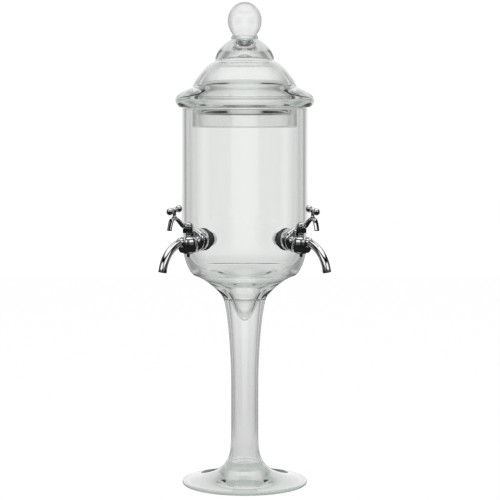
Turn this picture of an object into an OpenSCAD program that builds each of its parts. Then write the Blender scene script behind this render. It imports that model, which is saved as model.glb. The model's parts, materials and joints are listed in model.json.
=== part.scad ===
// Absinthe fountain: a glass bowl on a hollow stem and a round foot, a lift-off glass lid,
// and two chromed plug taps. The origin is the centre of the foot's underside, +Z is up,
// and the taps face the front, which is -Y. Sizes are in millimetres.

/* [Foot and stem] */
// Radius of the foot
foot_r = 62.6; // [50:0.1:75]
// Thickness of the foot at its rim
foot_rim_t = 3.9; // [3:0.1:6]
// Height at which the foot ends and the hollow stem begins
foot_h = 22; // [18:0.5:28]
// Outer radius of the stem where it stands on the foot
stem_base_r = 18.7; // [17.5:0.1:21]
// Outer radius of the stem along its straight run
stem_r = 13.6; // [12:0.1:16]
// Wall of the hollow stem
stem_wall = 2.2; // [1.6:0.1:3]
// Height of the stem from the foot to the bowl
stem_h = 166.5; // [140:0.5:200]
// Height over which the stem narrows above the foot
flare_h = 36.6; // [30:0.1:42]
// Height over which the stem widens below the bowl
neck_run = 81.8; // [70:0.1:90]
// Outer radius of the stem where it meets the bowl
stem_top_r = 21.9; // [20:0.1:24]

/* [Bowl] */
// Outer radius of the bowl
bowl_r = 63; // [58:0.1:70]
// Thickness of the bowl's side
bowl_wall = 4.7; // [3.5:0.1:6]
// Height of the bowl's straight side
side_h = 131; // [100:1:180]
// Height of the rounded shoulder under the straight side
shoulder_h = 35.4; // [30:0.1:48]
// Radius where the shoulder turns into the throat
waist_r = 49.6; // [45:0.1:53]
// Height of the throat between the shoulder and the stem
throat_h = 22.1; // [18:0.1:26]
// Width of the sloping floor between the bowl's side and the well
floor_w = 29.2; // [24:0.1:34]
// Depth of the glass drop that hangs into the hollow stem
drop_h = 23; // [18:0.5:28]
// Radius of the glass drop at its root
drop_r = 14.9; // [13:0.1:15.5]
// Thickness of the glass round the well in the drop
well_wall = 3.9; // [3:0.1:5]

/* [Lid] */
// How far the lid's flange stands out past the bowl
flange_over = 6.1; // [4:0.1:12]
// Width of the flange round the large dome
flange_w = 16.7; // [13.5:0.1:19]
// Height of the lid's flange above the bowl's rim
flange_h = 21.5; // [18:0.5:26]
// Height of the lid's large dome above the flange
dome_h = 25.5; // [20:0.5:32]
// Height of the small dome above the large one
cap_h = 24; // [19:0.5:29]
// Radius of the small dome
cap_r = 29.3; // [27:0.1:32]
// Thickness of the lid's glass
lid_wall = 4; // [3:0.1:5]
// Gap between the lid's skirt and the inside of the bowl
skirt_gap = 6.1; // [4:0.1:9]
// Depth of the skirt below the bowl's rim
skirt_h = 19; // [12:0.5:26]
// Radius of the hollow ball knob
knob_r = 17.4; // [16:0.1:21]
// Half the height that the knob's ball would have without its neck
knob_half_h = 19.2; // [17:0.1:22]
// Wall of the hollow ball knob
knob_wall = 1.9; // [1.4:0.1:3]
// Radius of the knob's neck
knob_neck_r = 13; // [12:0.1:14]

/* [Tap body] */
// Angle of each tap from the front
tap_angle = 39; // [30:1:60]
// Height of the tap's axis above the foot of the bowl's straight side
tap_rise = 3.9; // [0:0.1:40]
// Distance from the glass to the plug's axis
plug_reach = 23.1; // [22.5:0.1:30]
// Radius of the barrel beside the plug
barrel_r = 11.9; // [11:0.1:13]
// Radius of the valve chamber round the plug
chamber_r = 10; // [9:0.1:11]
// Top of the valve chamber above the tap's axis
chamber_top = 3.7; // [3.2:0.1:5]
// Depth of the valve chamber below the tap's axis
chamber_depth = 11.9; // [10:0.1:14]
// Radius of the ball at the outlet
outlet_ball_r = 5.2; // [4.8:0.1:6]
// Distance from the plug's axis to the outlet ball
outlet_reach = 11; // [10:0.1:13]
// Radius of the waterway through the tap
waterway_r = 2.6; // [2:0.1:3]

/* [Spout] */
// Outer radius of the spout's tube
spout_r = 4.2; // [4:0.1:4.6]
// Radius of the spout's bore
spout_bore_r = 2.9; // [2.6:0.1:3.2]
// Radius of the spout's bend
spout_bend_r = 32; // [26:0.5:40]
// Angle that the spout turns through
spout_turn = 60; // [45:1:70]
// Angle of the spout's root below level
spout_drop = 15; // [5:1:25]
// Length of the ferrule at the end of the spout
spout_tip = 4; // [3:0.5:10]

/* [Handle] */
// How far the right handle stands turned towards the front
right_turn = 8; // [0:1:20]
// Radius of the tapered plug at its top
plug_r = 4.6; // [4.3:0.1:5]
// How much smaller the plug's radius is at its foot
plug_taper = 0.6; // [0.3:0.1:0.8]
// Gap round the plug in its seat
plug_gap = 0.05; // [0.02:0.01:0.08]
// Width across the flats of the plug's hexagon
head_af = 9.6; // [8.6:0.1:9.8]
// Height of the hexagon
head_h = 4.8; // [4:0.1:6]
// Height of the neck under the hexagon
neck_h = 3.3; // [3:0.1:6]
// Thickness of the lever's strip
lever_t = 2.4; // [1.8:0.1:3]
// Width of the lever's strip
lever_w = 5; // [4:0.1:6]
// Distance from the plug's axis to the crest of the lever
lever_reach = 20; // [18:0.1:24]
// Height of the lever's crest above its hub
lever_rise = 8.8; // [6:0.1:12]
// How far the lever's end hangs below its crest
lever_fall = 11.4; // [8:0.1:13]
// How far the lever's end lies beyond its crest
lever_overhang = 7.6; // [7:0.1:13]
// Height of the crossbar above the lever's crest
crossbar_rise = 8; // [7:0.1:10]
// How far the crossbar leans down towards its outer end
crossbar_tilt = 10; // [0:1:15]
// Distance between the centres of the crossbar's balls
crossbar_span = 12.8; // [12:0.1:18]
// Radius of the crossbar's balls
crossbar_ball_r = 3.5; // [3.2:0.1:4]

/* [Seals and fasteners] */
// Radius of the threaded shank
shank_r = 4.5; // [4:0.1:5]
// Gap between the shank and each ring on it
ring_gap = 0.1; // [0.05:0.01:0.2]
// Gap between the shank and its hole in the glass
glass_hole_gap = 0.7; // [0.5:0.1:1.5]
// Radius of the outer gasket
gasket_r = 10.9; // [10.7:0.1:12]
// Thickness of the outer gasket
gasket_t = 4; // [3:0.1:5]
// Radius of the collar between the gasket and the tap
collar_r = 10.7; // [10:0.1:11.8]
// Thickness of the collar
collar_t = 4.5; // [3.5:0.1:5]
// Radius of the inner gasket
inner_gasket_r = 8.2; // [7.6:0.1:9]
// Thickness of the inner gasket
inner_gasket_t = 2.4; // [2:0.1:3.5]
// Radius of the inner metal washer
washer_r = 7.9; // [7.4:0.1:8.6]
// Thickness of the inner metal washer
washer_t = 1.2; // [0.8:0.1:2]
// Width across the flats of the lock nut
lock_nut_af = 12; // [11.5:0.1:14]
// Thickness of the lock nut
lock_nut_t = 5; // [4:0.1:6]
// Length of the shank past the lock nut
shank_end = 2.5; // [1:0.1:5]

/* [Hidden] */
$fn = 64;
film = 0.03;
fit = 0.05;
past = 1; // how far a cut runs past the surface that it opens
clear_glass = [0.82, 0.86, 0.83, 0.5];
chrome = "silver";
black_rubber = [0.12, 0.12, 0.12];

// Heights and inner radii of the vessel
knob_sink = 3.8;
knob_neck_h = 2.8;
joint_z = foot_h + stem_h;
waist_z = joint_z + throat_h;
side_z = waist_z + shoulder_h;
rim_z = side_z + side_h;
flange_z = rim_z + flange_h;
dome_z = flange_z + dome_h;
cap_z = dome_z + cap_h;
knob_z = cap_z + knob_half_h - knob_sink;
bowl_ir = bowl_r - bowl_wall;
flange_r = bowl_r + flange_over;
dome_r = flange_r - flange_w;
skirt_r = bowl_ir - skirt_gap;
skirt_ir = skirt_r - lid_wall;
rim_round = 1.2;

// Places along the tap, measured from the fountain's axis, and above the tap's axis
barrel_gap = 6.2;
ball_drop = 1.5;
tap_z = side_z + tap_rise;
seam_z = tap_z + gasket_r + 1.2; // where the bowl meets its straight side, just above the taps
plug_x = bowl_r + plug_reach;
collar_x = bowl_r + gasket_t;
barrel_x = collar_x + collar_t;
barrel_front = plug_x - barrel_gap;
ball_x = plug_x + outlet_reach;
ball_cut = sqrt(pow(outlet_ball_r, 2) - pow(spout_r, 2));
socket_depth = 3.5;
socket_r = spout_bore_r + 0.6;
spigot_step = 0.3;
tip_step = 0.1;
gasket_ix = sqrt(pow(bowl_ir, 2) - pow(inner_gasket_r, 2)) - inner_gasket_t;
washer_ix = gasket_ix - washer_t;
nut_ix = washer_ix - lock_nut_t;
shank_ix = nut_ix - shank_end;
head_z = chamber_top + neck_h;
hub_z = head_z + head_h;
crest_z = hub_z + lever_t / 2 + lever_rise;
crossbar_z = crest_z + crossbar_rise;

// Small pieces of the handle
neck_r = 2.8;
hub_r = 5.2;
square_w = 4;
stud_r = 1.5;
pin_r = 1.25;
strip_t = lever_t - 0.2;
thread_depth = 8;
bottom_washer_r = 5;
bottom_washer_t = 0.8;

// Points of a smooth curve from a to d, leaving towards b and arriving from c
function curve(a, b, c, d, steps = 8) = [
    for (i = [0 : steps])
        let (t = i / steps, s = 1 - t)
            s * s * s * a + 3 * s * s * t * b + 3 * s * t * t * c + t * t * t * d
];
// Points of an arc about a centre, from one angle to another
function arc(centre, r, from_angle, to_angle, steps = 6) = [
    for (i = [0 : steps])
        let (a = from_angle + (to_angle - from_angle) * i / steps)
            centre + r * [cos(a), sin(a)]
];
// The same points in the opposite order
function back(points) = [for (i = [len(points) - 1 : -1 : 0]) points[i]];
// Points moved sideways by dx
function shifted(points, dx) = [for (p = points) [p[0] + dx, p[1]]];
// Part of a list, from the index first to its end
function from(points, first) = [for (i = [first : len(points) - 1]) points[i]];

// Outlines of the vessel, each as radius and height
function foot_top() = curve(
    [stem_base_r, foot_h], [stem_base_r + 3.4, foot_h - 8],
    [stem_base_r + 20, foot_rim_t + 2.6], [foot_r - foot_rim_t / 2, foot_rim_t], 12);
function foot_rim() = arc([foot_r - foot_rim_t / 2, foot_rim_t / 2], foot_rim_t / 2, 90, -90, 8);
function stem_flare() = curve(
    [stem_base_r, foot_h], [stem_r + 0.35, foot_h + 7.3],
    [stem_r, foot_h + 15], [stem_r, foot_h + flare_h]);
function stem_neck() = curve(
    [stem_r, joint_z - neck_run], [stem_r + 0.4, joint_z - neck_run + 31],
    [stem_top_r - 4.5, joint_z - 9.3], [stem_top_r, joint_z], 12);
function throat() = curve(
    [stem_top_r, joint_z], [stem_top_r + 2.6, joint_z + 5.4],
    [waist_r - 10.4, waist_z - 3.1], [waist_r, waist_z]);
function shoulder() = curve(
    [waist_r, waist_z], [waist_r + 7.3, waist_z + 2.2],
    [bowl_r, side_z - 13.1], [bowl_r, side_z], 12);
function bowl_floor() = curve(
    [bowl_ir, side_z + 2], [bowl_ir, side_z - 18],
    [bowl_ir - 7.2, waist_z + 1.9], [bowl_ir - floor_w, waist_z - 2.6], 12);
function well() = concat(
    curve([bowl_ir - floor_w, waist_z - 2.6], [bowl_ir - floor_w - 10, waist_z - 4.6],
        [drop_r - well_wall + 2.5, joint_z + 9.5], [drop_r - well_wall, joint_z]),
    from(curve([drop_r - well_wall, joint_z], [drop_r - well_wall - 2.5, joint_z - 9.5],
        [6, joint_z - drop_h + 5.9], [0, joint_z - drop_h + 5.9]), 1));
function drop() = curve(
    [0, joint_z - drop_h], [6.5, joint_z - drop_h],
    [drop_r - 3.9, joint_z - 6], [drop_r, joint_z]);

// Solid of the bowl's outside, grown by the given amount
module bowl_outside(grow = 0) {
    rotate_extrude($fn = 128)
        polygon(concat(
            [[0, joint_z]], shifted(concat(throat(), from(shoulder(), 1)), grow),
            [[bowl_r + grow, rim_z], [0, rim_z]]));
}

// Round foot with its solid hub
module foot() {
    color(clear_glass)
        rotate_extrude($fn = 128)
            polygon(concat([[0, 0], [0, foot_h]], foot_top(), from(foot_rim(), 1)));
}

// Hollow stem, a flared tube between the foot and the bowl
module stem() {
    turn = 8; // the point of the neck at which the hollow leaves the outside's curve
    neck = stem_neck();
    inner_neck = shifted([for (i = [0 : turn]) neck[i]], -stem_wall);
    hollow_top = curve(
        inner_neck[turn], inner_neck[turn] + [0.6, 4],
        [drop_r + 2.8, joint_z - 4], [drop_r + 1.7, joint_z], 5);
    outside = concat(stem_flare(), neck);
    inside = concat(
        shifted(stem_flare(), -stem_wall), inner_neck, from(hollow_top, 1));
    color(clear_glass)
        rotate_extrude($fn = 96)
            polygon(concat(outside, back(inside)));
}

// Lower bowl with its thick floor, central well and two holes for the taps
module bowl() {
    color(clear_glass)
        difference() {
            rotate_extrude($fn = 128)
                polygon(concat(
                    drop(), throat(), from(shoulder(), 1),
                    [[bowl_r, seam_z], [bowl_ir, seam_z]],
                    bowl_floor(), from(well(), 1)));
            for (side = [-1, 1])
                at_tap(side)
                    along_x(nut_ix)
                        cylinder(r = shank_r + glass_hole_gap, h = plug_x - nut_ix);
        }
}

// Straight side of the bowl, from just above the taps up to the rim
module bowl_side() {
    color(clear_glass)
        rotate_extrude($fn = 128)
            polygon([
                [bowl_ir, seam_z], [bowl_r, seam_z],
                [bowl_r, rim_z - rim_round], [bowl_r - rim_round, rim_z],
                [bowl_ir + rim_round, rim_z], [bowl_ir, rim_z - rim_round]]);
}

// Outside of the lid from its neck down to the bottom of its skirt
function lid_outside() = concat(
    [[knob_neck_r, cap_z], [knob_neck_r + 0.6, cap_z - 0.6], [knob_neck_r + 0.6, cap_z - 2.8]],
    curve([knob_neck_r + 1.2, cap_z - 3.2], [cap_r - 12.5, cap_z - 3.7],
        [cap_r - 0.4, dome_z + 10.6], [cap_r, dome_z + 2], 10),
    curve([cap_r + 1.9, dome_z - 0.8], [cap_r + 9.7, dome_z - 3.5],
        [dome_r - 6.4, flange_z + 11.5], [dome_r, flange_z], 10),
    from(curve([dome_r, flange_z], [dome_r + 4.6, flange_z - 2.9],
        [flange_r, flange_z - 6.2], [flange_r, rim_z + 8], 10), 1),
    from(curve([flange_r, rim_z + 8], [flange_r, rim_z + 3.6],
        [bowl_r + 2.7, rim_z], [bowl_r - 1.5, rim_z], 6), 1),
    [[skirt_r + 1, rim_z], [skirt_r, rim_z - 1],
     [skirt_r, rim_z - skirt_h + 1], [skirt_r - 1, rim_z - skirt_h]]);
// Inside of the lid from the bottom of its skirt up to its centre
function lid_inside() = concat(
    [[skirt_ir + 1, rim_z - skirt_h], [skirt_ir, rim_z - skirt_h + 1]],
    curve([skirt_ir, flange_z - 13], [skirt_ir, flange_z],
        [cap_r + 11, dome_z - 8 - lid_wall], [cap_r - 2, dome_z - lid_wall], 10),
    curve([cap_r - lid_wall, dome_z + 2.5 - lid_wall], [cap_r - lid_wall - 1, dome_z + 9 - lid_wall],
        [9, cap_z - 6.5 - lid_wall], [0, cap_z - 1 - lid_wall], 10));

// Domed lid with a flange that rests on the rim and a skirt that hangs inside it
module lid() {
    color(clear_glass)
        rotate_extrude($fn = 128)
            polygon(concat([[0, cap_z]], lid_outside(), lid_inside()));
}

// Outline of the ball knob, drawn in by the wall for its inside
function knob_outline(inset) =
    let (r = knob_r - inset, half = knob_half_h - inset, neck = knob_neck_r - inset)
        let (low = -asin((knob_z - cap_z - knob_neck_h) / knob_half_h))
            concat(
                [[neck, cap_z]],
                from(curve([neck, cap_z], [neck, cap_z + 1.2],
                    [r * cos(low) - 1, knob_z + half * sin(low) - 2.2],
                    [r * cos(low), knob_z + half * sin(low)], 5), 1),
                [for (i = [1 : 20]) let (a = low + (90 - low) * i / 20)
                    [r * cos(a), knob_z + half * sin(a)]]);

// Hollow ball knob, closed below by the top of the lid
module lid_knob() {
    color(clear_glass)
        rotate_extrude($fn = 96)
            polygon(concat(knob_outline(0), back(knob_outline(knob_wall))));
}

// Stands the children in one tap's own frame: +X points away from the bowl
module at_tap(side) {
    rotate([0, 0, -90 + side * tap_angle]) translate([0, 0, tap_z]) children();
}
// Stands the children in one tap's own frame, turned with its handle
module at_handle(side) {
    at_tap(side)
        at_plug() rotate([0, 0, side > 0 ? -right_turn : 0]) translate([-plug_x, 0, 0]) children();
}
// Lays a shape's +Z along the tap's +X, starting at x
module along_x(x) {
    translate([x, 0, 0]) rotate([0, 90, 0]) children();
}
// Moves a shape to the plug's axis
module at_plug(z = 0) {
    translate([plug_x, 0, z]) children();
}
// Moves a shape to the outlet ball, with its +X along the spout's root
module at_outlet() {
    translate([ball_x, 0, -ball_drop]) rotate([0, spout_drop, 0]) children();
}

// Barrel, turned about the tap's axis
module barrel() {
    outline = concat(
        [[0, barrel_x]],
        curve([barrel_r - 2.4, barrel_x], [barrel_r - 1.6, barrel_x + 2.6],
            [barrel_r, barrel_x + 3.6], [barrel_r, barrel_front - 3.4]),
        from(curve([barrel_r, barrel_front - 3.4], [barrel_r, barrel_front - 1],
            [barrel_r - 1.8, barrel_front - 0.2], [barrel_r - 4.8, barrel_front]), 1),
        [[0, barrel_front]]);
    along_x(0) rotate_extrude() polygon(outline);
}

// Valve chamber, turned about the plug's axis
module chamber() {
    mid_z = (chamber_top - chamber_depth) / 2;
    at_plug()
        rotate_extrude()
            polygon(concat(
                [[0, -chamber_depth]],
                curve([chamber_r - 3.4, -chamber_depth], [chamber_r - 0.8, 0.3 - chamber_depth],
                    [chamber_r, mid_z - 4], [chamber_r, mid_z]),
                from(curve([chamber_r, mid_z], [chamber_r, mid_z + 4.5],
                    [chamber_r - 1.4, chamber_top], [chamber_r - 3.8, chamber_top]), 1),
                [[0, chamber_top]]));
}

// Tap body with its threaded shank, waterway, plug seat and spout socket
module tap_body() {
    color(chrome)
        difference() {
            union() {
                along_x(shank_ix) cylinder(r = shank_r, h = barrel_x + past - shank_ix);
                barrel();
                chamber();
                difference() {
                    at_outlet() sphere(r = outlet_ball_r);
                    at_outlet()
                        translate([ball_cut, -outlet_ball_r, -outlet_ball_r])
                            cube(2 * outlet_ball_r);
                }
            }
            along_x(shank_ix - past) cylinder(r = waterway_r, h = plug_x - shank_ix + past);
            along_x(plug_x) cylinder(r = waterway_r, h = outlet_reach);
            at_outlet() along_x(-past) cylinder(r = waterway_r, h = ball_cut + 2 * past);
            at_outlet()
                along_x(ball_cut - socket_depth)
                    cylinder(r = socket_r + fit, h = socket_depth + past);
            at_plug(-chamber_depth)
                cylinder(r1 = plug_r - plug_taper, r2 = plug_r, h = chamber_top + chamber_depth);
        }
}

// Curved spout with a thin ferrule at its end, and a spigot soldered into the outlet ball
module spout() {
    end_angle = 90 - spout_turn;
    color(chrome)
        at_outlet() {
            along_x(ball_cut - socket_depth) tube(socket_r, spout_bore_r - spigot_step, socket_depth);
            translate([ball_cut, 0, -spout_bend_r]) {
                rotate([90, 0, 0])
                    rotate([0, 0, end_angle])
                        rotate_extrude(angle = spout_turn, $fn = 128)
                            translate([spout_bend_r, 0])
                                difference() {
                                    circle(r = spout_r, $fn = 48);
                                    circle(r = spout_bore_r, $fn = 48);
                                }
                translate([spout_bend_r * cos(end_angle), 0, spout_bend_r * sin(end_angle)])
                    rotate([0, spout_turn, 0])
                        along_x(0) tube(spout_r + tip_step, spout_bore_r + tip_step, spout_tip);
            }
        }
}

// Round tube along +Z
module tube(r, bore_r, h) {
    linear_extrude(h)
        difference() {
            circle(r = r, $fn = 48);
            circle(r = bore_r, $fn = 48);
        }
}

// Tapered plug with its cross bore, neck, hexagon, square and top stud
module plug() {
    plug_foot = 0.3 - chamber_depth;
    top_r = plug_r - plug_gap;
    foot_r_here = plug_r - plug_taper - plug_gap;
    color(chrome)
        at_plug()
            difference() {
                union() {
                    translate([0, 0, plug_foot])
                        cylinder(r1 = foot_r_here, r2 = top_r, h = chamber_top - plug_foot);
                    translate([0, 0, chamber_top - 1]) cylinder(r = neck_r, h = neck_h + 1.5);
                    translate([0, 0, head_z])
                        cylinder(d = head_af / cos(30), h = head_h, $fn = 6);
                    translate([-square_w / 2, -square_w / 2, hub_z - 1])
                        cube([square_w, square_w, lever_t + 1]);
                    translate([0, 0, hub_z]) cylinder(r = stud_r, h = lever_t + 2.4);
                }
                translate([0, plug_r + past, 0])
                    rotate([90, 0, 0]) cylinder(r = waterway_r - 0.2, h = 2 * (plug_r + past));
                translate([0, 0, plug_foot - past]) cylinder(r = pin_r + fit, h = thread_depth);
            }
}

// Both edges of a strip of thickness t along a path
function strip_edges(path, t) =
    let (n = len(path) - 1)
        let (side = [for (i = [0 : n])
            let (d = path[min(i + 1, n)] - path[max(i - 1, 0)])
                [-d[1], d[0]] * t / 2 / norm(d)])
            concat(path + side, back(path - side));

// Arched lever: a hub on the plug's square, and a strip that rises to a crest and turns down
module lever() {
    mid_z = hub_z + lever_t / 2;
    crest = [lever_reach, crest_z];
    end = crest + [lever_overhang, -lever_fall];
    path = concat(
        [[hub_r - 2, mid_z]],
        curve([hub_r, mid_z], [hub_r + 4, mid_z], [lever_reach - 7, crest_z], crest, 12),
        from(curve(crest, crest + [5.2, 0], end + [-2.2, lever_fall * 0.6], end, 12), 1));
    color(chrome)
        at_plug()
            difference() {
                union() {
                    translate([0, 0, hub_z]) cylinder(r = hub_r, h = lever_t);
                    translate([0, lever_w / 2, 0])
                        rotate([90, 0, 0])
                            linear_extrude(lever_w) polygon(strip_edges(path, strip_t));
                }
                translate([-square_w / 2 - fit, -square_w / 2 - fit, hub_z - past])
                    cube([square_w + 2 * fit, square_w + 2 * fit, lever_t + 2 * past]);
                translate([lever_reach, 0, crest_z - lever_t]) cylinder(r = pin_r + fit, h = 2 * lever_t);
            }
}

// Ball-ended crossbar on a short post that is riveted through the lever's crest
module crossbar() {
    post_foot = crest_z + strip_t / 2;
    post_r = 1.7;
    bar_r = 1.8;
    boss_r = 2.7;
    color(chrome)
        at_plug()
            translate([lever_reach, 0, 0]) {
                translate([0, 0, crest_z - strip_t / 2]) cylinder(r = pin_r, h = strip_t + 1);
                translate([0, 0, post_foot]) cylinder(r = post_r, h = crossbar_z - post_foot);
                translate([0, 0, crossbar_z]) rotate([0, crossbar_tilt, 0]) {
                    sphere(r = boss_r);
                    along_x(-crossbar_span / 2) cylinder(r = bar_r, h = crossbar_span);
                    for (end = [-1, 1])
                        translate([end * crossbar_span / 2, 0, 0]) sphere(r = crossbar_ball_r);
                }
            }
}

// Domed nut that holds the lever on the plug
module cap_nut() {
    nut_z = hub_z + lever_t;
    nut_r = 4.9;
    nut_h = 3.9;
    color(chrome)
        at_plug(nut_z)
            difference() {
                rotate_extrude()
                    polygon(concat(
                        [[0, 0], [nut_r, 0]],
                        curve([nut_r, 0.9], [nut_r - 0.1, 2.6], [nut_r - 2.4, nut_h], [0, nut_h])));
                translate([0, 0, -past]) cylinder(r = stud_r + fit, h = 2.5 + past);
            }
}

// Washer under the valve chamber
module bottom_washer() {
    color(chrome)
        at_plug(-chamber_depth - bottom_washer_t)
            difference() {
                cylinder(r = bottom_washer_r, h = bottom_washer_t);
                translate([0, 0, -past]) cylinder(r = pin_r + fit, h = bottom_washer_t + 2 * past);
            }
}

// Slotted screw that draws the plug down into its seat
module bottom_screw() {
    screw_head_h = 3.6;
    screw_head_r = 1.8;
    slot_w = 0.6;
    slot_depth = 0.8;
    head_top = -chamber_depth - bottom_washer_t;
    color(chrome)
        at_plug(head_top - screw_head_h)
            difference() {
                union() {
                    cylinder(r = screw_head_r, h = screw_head_h);
                    cylinder(r = pin_r, h = screw_head_h + thread_depth - bottom_washer_t);
                }
                translate([-screw_head_r - past, -slot_w / 2, -past])
                    cube([2 * (screw_head_r + past), slot_w, slot_depth + past]);
            }
}

// Ring on the shank between two places along the tap
module shank_ring(x, t, r) {
    along_x(x)
        difference() {
            cylinder(r = r, h = t);
            translate([0, 0, -past]) cylinder(r = shank_r + ring_gap, h = t + 2 * past);
        }
}

// Chromed collar between the outer gasket and the barrel, with rounded edges
module collar() {
    edge = 0.8;
    bore = shank_r + ring_gap;
    color(chrome)
        along_x(collar_x)
            rotate_extrude()
                polygon(concat(
                    [[bore, 0]],
                    curve([collar_r - edge, 0], [collar_r, 0], [collar_r, 0], [collar_r, edge], 4),
                    curve([collar_r, collar_t - 2 * edge], [collar_r, collar_t - edge],
                        [collar_r - edge, collar_t], [collar_r - 2 * edge, collar_t], 5),
                    [[bore, collar_t]]));
}

// Thick rubber gasket that follows the outside of the bowl, in the tap's frame
module outer_gasket(side) {
    color(black_rubber)
        difference() {
            at_tap(side) shank_ring(bowl_r - 3, gasket_t + 3, gasket_r);
            bowl_outside(film);
        }
}

// Rubber gasket that follows the inside of the bowl
module inner_gasket(side) {
    color(black_rubber)
        intersection() {
            at_tap(side) shank_ring(gasket_ix, inner_gasket_t + 3, inner_gasket_r);
            rotate_extrude($fn = 128)
                polygon(concat(
                    [[0, waist_z]], shifted(back(bowl_floor()), -film),
                    [[bowl_ir - film, rim_z], [0, rim_z]]));
        }
}

// Metal washer inside the bowl
module inner_washer() {
    color(chrome) shank_ring(washer_ix, washer_t, washer_r);
}

// Hexagonal nut that clamps the tap to the glass
module lock_nut() {
    color(chrome)
        along_x(nut_ix)
            difference() {
                cylinder(d = lock_nut_af / cos(30), h = lock_nut_t, $fn = 6);
                translate([0, 0, -past]) cylinder(r = shank_r + fit, h = lock_nut_t + 2 * past);
            }
}

foot();
stem();
bowl();
bowl_side();
lid();
lid_knob();
at_tap(-1) tap_body();  // left_tap_body
at_tap(-1) spout();  // left_spout
at_handle(-1) plug();  // left_plug
at_handle(-1) lever();  // left_lever
at_handle(-1) crossbar();  // left_crossbar
at_handle(-1) cap_nut();  // left_cap_nut
at_handle(-1) bottom_washer();  // left_bottom_washer
at_handle(-1) bottom_screw();  // left_bottom_screw
at_tap(-1) collar();  // left_collar
outer_gasket(-1);  // left_outer_gasket
inner_gasket(-1);  // left_inner_gasket
at_tap(-1) inner_washer();  // left_inner_washer
at_tap(-1) lock_nut();  // left_lock_nut
at_tap(1) tap_body();  // right_tap_body
at_tap(1) spout();  // right_spout
at_handle(1) plug();  // right_plug
at_handle(1) lever();  // right_lever
at_handle(1) crossbar();  // right_crossbar
at_handle(1) cap_nut();  // right_cap_nut
at_handle(1) bottom_washer();  // right_bottom_washer
at_handle(1) bottom_screw();  // right_bottom_screw
at_tap(1) collar();  // right_collar
outer_gasket(1);  // right_outer_gasket
inner_gasket(1);  // right_inner_gasket
at_tap(1) inner_washer();  // right_inner_washer
at_tap(1) lock_nut();  // right_lock_nut
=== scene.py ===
"""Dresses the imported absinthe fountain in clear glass, chrome plate and black rubber.

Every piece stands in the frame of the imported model, in metres. Sizes are written in
millimetres, as a glassblower and a tap maker would give them, and MM turns them into metres.
The taps' sizes are measured from the fountain's axis, along each tap, and from the tap's axis.
"""

import json
import logging
import math
from dataclasses import dataclass, field
from enum import Enum
from typing import Any, Iterable, Protocol, Sequence

import bmesh
import bpy
from mathutils import Matrix, Vector
from mathutils.geometry import interpolate_bezier

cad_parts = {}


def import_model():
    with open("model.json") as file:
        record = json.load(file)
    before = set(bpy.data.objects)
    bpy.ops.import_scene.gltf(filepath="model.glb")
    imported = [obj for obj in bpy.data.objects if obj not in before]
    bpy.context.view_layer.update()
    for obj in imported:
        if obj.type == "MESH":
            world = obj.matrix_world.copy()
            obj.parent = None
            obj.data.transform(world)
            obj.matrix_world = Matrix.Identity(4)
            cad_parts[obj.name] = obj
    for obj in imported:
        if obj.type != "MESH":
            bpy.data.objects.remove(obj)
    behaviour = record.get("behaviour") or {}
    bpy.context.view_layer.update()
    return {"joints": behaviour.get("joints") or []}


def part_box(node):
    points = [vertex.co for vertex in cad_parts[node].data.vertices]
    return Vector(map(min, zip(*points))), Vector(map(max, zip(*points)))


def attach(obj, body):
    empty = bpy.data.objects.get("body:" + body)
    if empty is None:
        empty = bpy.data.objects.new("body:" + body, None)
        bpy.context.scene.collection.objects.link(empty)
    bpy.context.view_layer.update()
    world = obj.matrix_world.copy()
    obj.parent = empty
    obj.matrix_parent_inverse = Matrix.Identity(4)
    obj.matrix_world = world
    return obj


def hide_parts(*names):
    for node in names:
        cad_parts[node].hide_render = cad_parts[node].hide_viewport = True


LOG = logging.getLogger("fountain")
MM = 0.001
WELD = 1e-4
Point = tuple[float, float]
Triple = tuple[float, float, float]
Shade = tuple[float, float, float, float]
Stops = tuple[Point, ...]
Socket = bpy.types.NodeSocket
Solid = bmesh.types.BMesh


class Side(Enum):
    """The side of the fountain that a tap is on, seen from the front."""

    LEFT = -1
    RIGHT = 1

    @property
    def word(self) -> str:
        """The side's name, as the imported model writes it."""
        return self.name.lower()


class Op(Enum):
    """How two solids are put together."""

    JOIN = "UNION"
    CUT = "DIFFERENCE"
    KEEP = "INTERSECT"


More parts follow.
